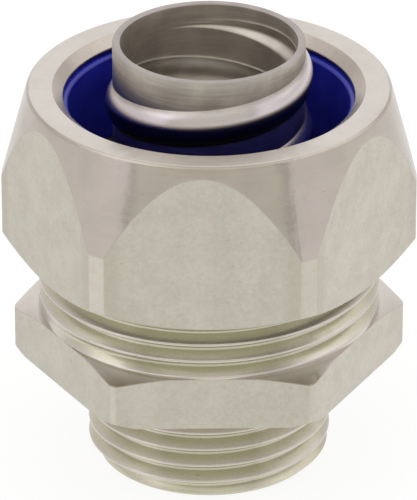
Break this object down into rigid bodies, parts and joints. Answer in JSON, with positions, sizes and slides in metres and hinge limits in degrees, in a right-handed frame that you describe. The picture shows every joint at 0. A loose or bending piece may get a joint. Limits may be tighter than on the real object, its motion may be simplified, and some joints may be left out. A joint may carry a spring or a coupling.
{
  "type": "liquidtight conduit connector",
  "caption": "Straight liquidtight conduit connector: threaded hexagon body, coned hexagon compression nut, blue sealing ring and a beaded steel ferrule for the conduit's end.",
  "frame": {"origin": "centre of the entry thread's end face, on the connector's axis", "axes": "+Z along the axis from the entry thread towards the conduit; -Y faces one hexagon flat of the body, within about 1 degree"},
  "size_m": [0.0338, 0.0306, 0.0369],
  "materials": {
    "nickel_plated_brass": "turned brass with a warm grey nickel plate, satin with fine tool marks",
    "stainless_steel": "drawn and rolled stainless sheet, satin, brighter on the bead",
    "blue_nylon": "moulded deep blue nylon, semi-gloss"
  },
  "bodies": {
    "fitting": {"entry_body": "nickel_plated_brass", "ferrule": "stainless_steel"},
    "ring": {"sealing_ring": "blue_nylon"},
    "nut": {"compression_nut": "nickel_plated_brass"}
  },
  "joints": [
    {"name": "nut_advance", "type": "slide", "parent": "fitting", "child": "ring", "axis": [0, 0, 1], "range_m": [-0.0015, 0.006]},
    {"name": "nut_turn", "type": "hinge", "parent": "ring", "child": "nut", "pos_m": [0, 0, 0.0185], "axis": [0, 0, 1], "range_deg": [-360, 1440]}
  ],
  "couplings": [
    {"joint": "nut_advance", "follows": "nut_turn", "m_per_rad": 0.00023873}
  ]
}
